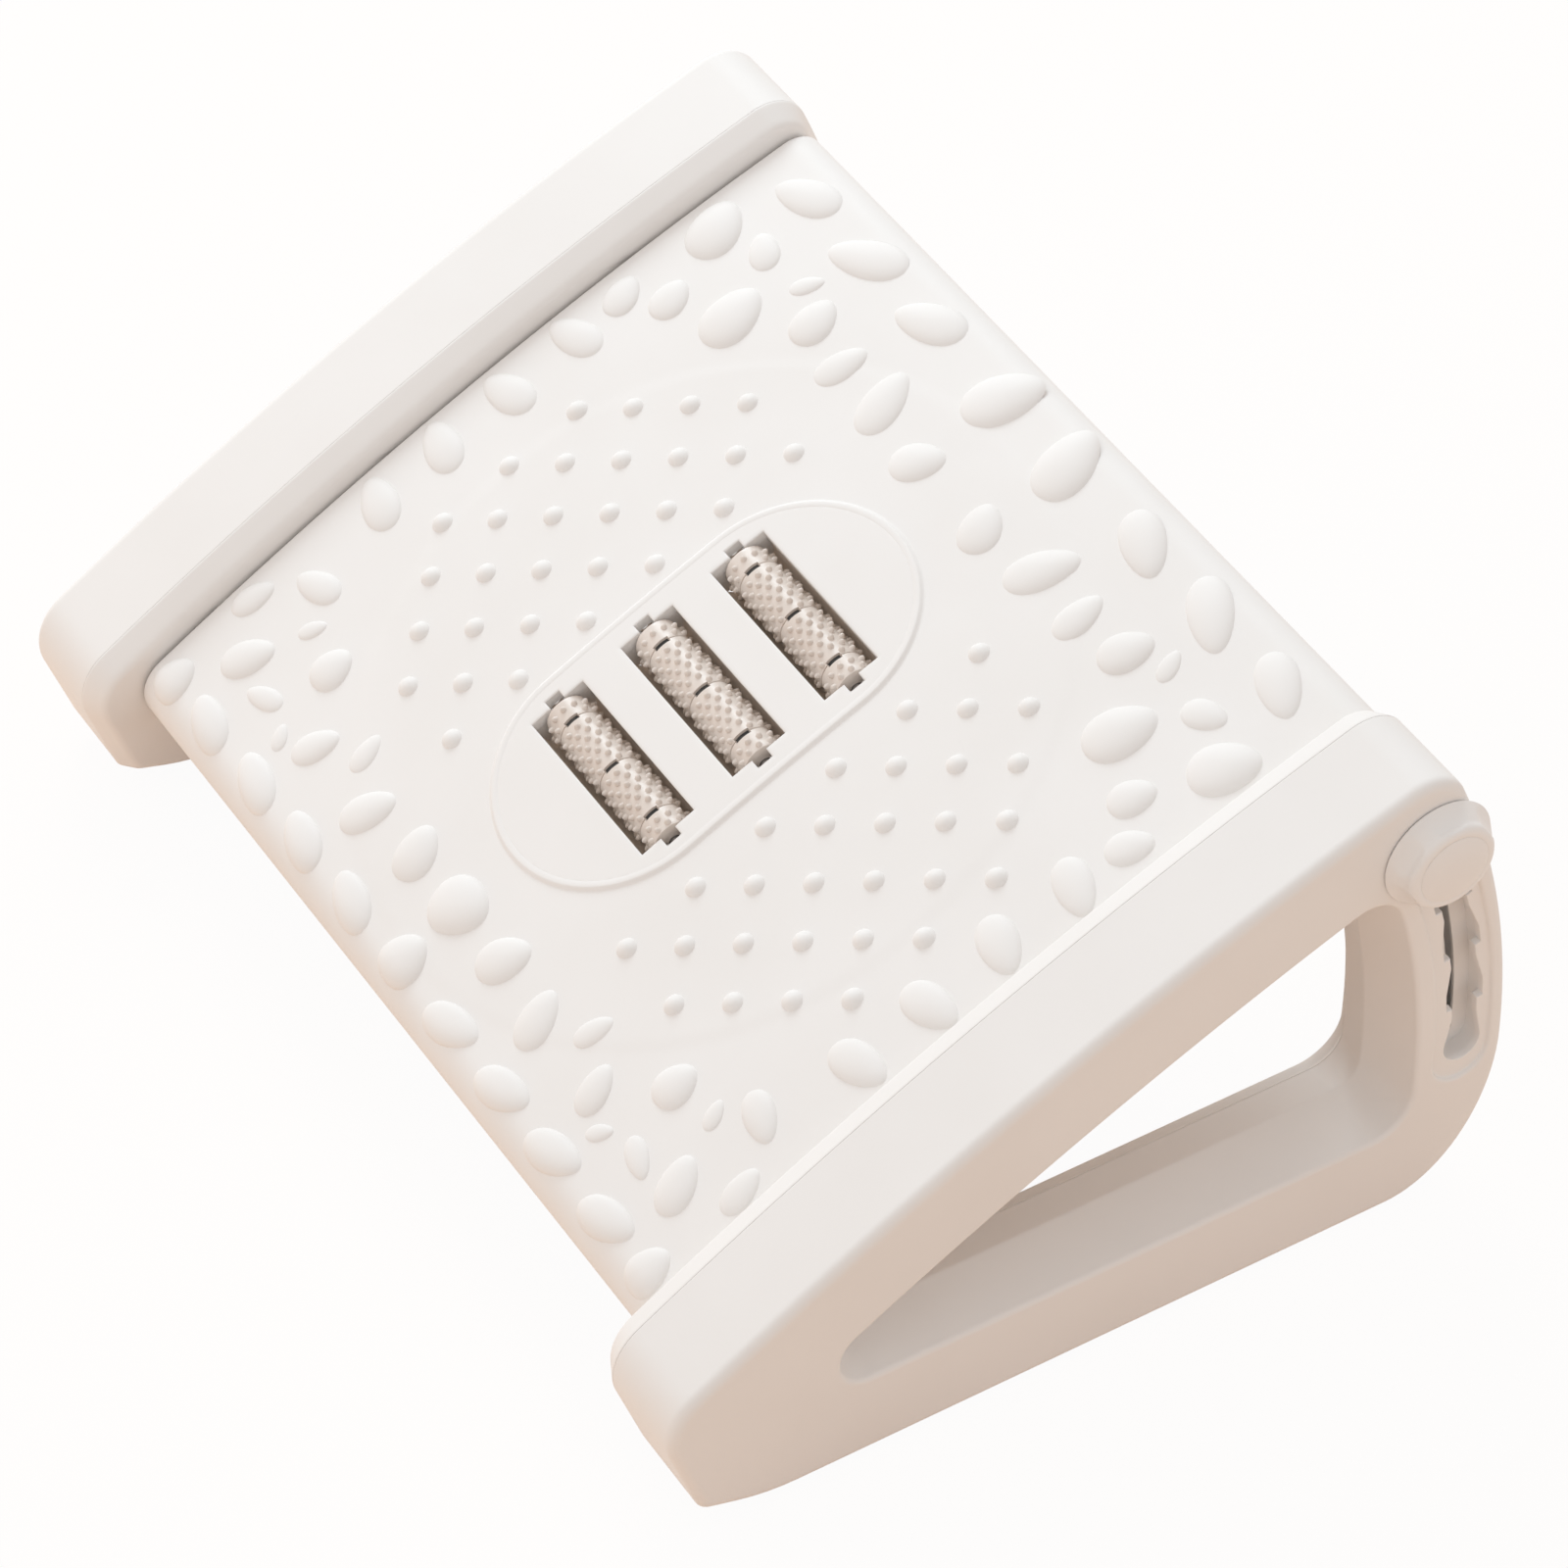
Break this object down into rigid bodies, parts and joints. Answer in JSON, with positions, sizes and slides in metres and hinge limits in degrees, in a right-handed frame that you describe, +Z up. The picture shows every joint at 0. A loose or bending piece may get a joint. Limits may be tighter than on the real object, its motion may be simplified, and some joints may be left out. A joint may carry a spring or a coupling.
{
  "type": "adjustable footrest",
  "caption": "Tilting under-desk footrest: an arched massage plate with spiked rollers between two open triangular side frames.",
  "frame": {"origin": "on the floor, in the middle of the width and of the depth", "axes": "+X across the width to the right, +Y from the user's side to the raised rear, +Z up"},
  "size_m": [0.4794, 0.333, 0.2028],
  "materials": {
    "white_plastic": "satin moulded plastic, off-white",
    "cream_plastic": "satin moulded plastic, warm cream",
    "steel": "plain drawn steel",
    "rubber": "matt black rubber",
    "nylon": "natural nylon"
  },
  "bodies": {
    "side_frames": {"left_outer_shell": "white_plastic", "left_inner_shell": "white_plastic", "left_shell_screw_1": "steel", "left_shell_screw_2": "steel", "left_shell_screw_3": "steel", "left_shell_screw_4": "steel", "left_front_pad": "rubber", "left_rear_pad": "rubber", "right_outer_shell": "white_plastic", "right_inner_shell": "white_plastic", "right_shell_screw_1": "steel", "right_shell_screw_2": "steel", "right_shell_screw_3": "steel", "right_shell_screw_4": "steel", "right_front_pad": "rubber", "right_rear_pad": "rubber", "front_rod": "steel"},
    "footplate": {"footplate": "white_plastic", "left_rod_bush": "nylon", "left_slide_washer": "nylon", "left_roller_rail": "white_plastic", "right_rod_bush": "nylon", "right_slide_washer": "nylon", "right_roller_rail": "white_plastic", "rail_screw_1": "steel", "rail_screw_2": "steel", "rail_screw_3": "steel", "rail_screw_4": "steel"},
    "front_roller": {"front_roller_axle": "steel", "front_roller_segment_1": "cream_plastic", "front_roller_segment_2": "cream_plastic", "front_roller_segment_3": "cream_plastic", "front_roller_segment_4": "cream_plastic"},
    "middle_roller": {"middle_roller_axle": "steel", "middle_roller_segment_1": "cream_plastic", "middle_roller_segment_2": "cream_plastic", "middle_roller_segment_3": "cream_plastic", "middle_roller_segment_4": "cream_plastic"},
    "rear_roller": {"rear_roller_axle": "steel", "rear_roller_segment_1": "cream_plastic", "rear_roller_segment_2": "cream_plastic", "rear_roller_segment_3": "cream_plastic", "rear_roller_segment_4": "cream_plastic"},
    "left_knob": {"left_lock_knob": "white_plastic", "left_knob_cap": "white_plastic"},
    "left_pin": {"left_lock_pin": "steel"},
    "right_knob": {"right_lock_knob": "white_plastic", "right_knob_cap": "white_plastic"},
    "right_pin": {"right_lock_pin": "steel"}
  },
  "joints": [
    {"name": "footplate_tilt", "type": "hinge", "parent": "side_frames", "child": "footplate", "pos_m": [0, -0.10613, 0.07181], "axis": [1, 0, 0], "range_deg": [-24, 0]},
    {"name": "front_roller_spin", "type": "hinge", "parent": "footplate", "child": "front_roller", "pos_m": [0, -0.05001, 0.10777], "axis": [1, 0, 0], "continuous": true},
    {"name": "middle_roller_spin", "type": "hinge", "parent": "footplate", "child": "middle_roller", "pos_m": [0, -0.01364, 0.12626], "axis": [1, 0, 0], "continuous": true},
    {"name": "rear_roller_spin", "type": "hinge", "parent": "footplate", "child": "rear_roller", "pos_m": [0, 0.02327, 0.14367], "axis": [1, 0, 0], "continuous": true},
    {"name": "left_knob_turn", "type": "hinge", "parent": "footplate", "child": "left_knob", "pos_m": [-0.2275, 0.12955, 0.17139], "axis": [-1, 0, 0], "range_deg": [0, 90]},
    {"name": "left_pin_slide", "type": "slide", "parent": "footplate", "child": "left_pin", "axis": [-1, 0, 0], "range_m": [0, 0.003]},
    {"name": "right_knob_turn", "type": "hinge", "parent": "footplate", "child": "right_knob", "pos_m": [0.2275, 0.12955, 0.17139], "axis": [1, 0, 0], "range_deg": [0, 90]},
    {"name": "right_pin_slide", "type": "slide", "parent": "footplate", "child": "right_pin", "axis": [1, 0, 0], "range_m": [0, 0.003]}
  ],
  "couplings": [
    {"joint": "left_knob_turn", "follows": "left_pin_slide", "rad_per_m": 523.59},
    {"joint": "right_knob_turn", "follows": "right_pin_slide", "rad_per_m": 523.59}
  ]
}
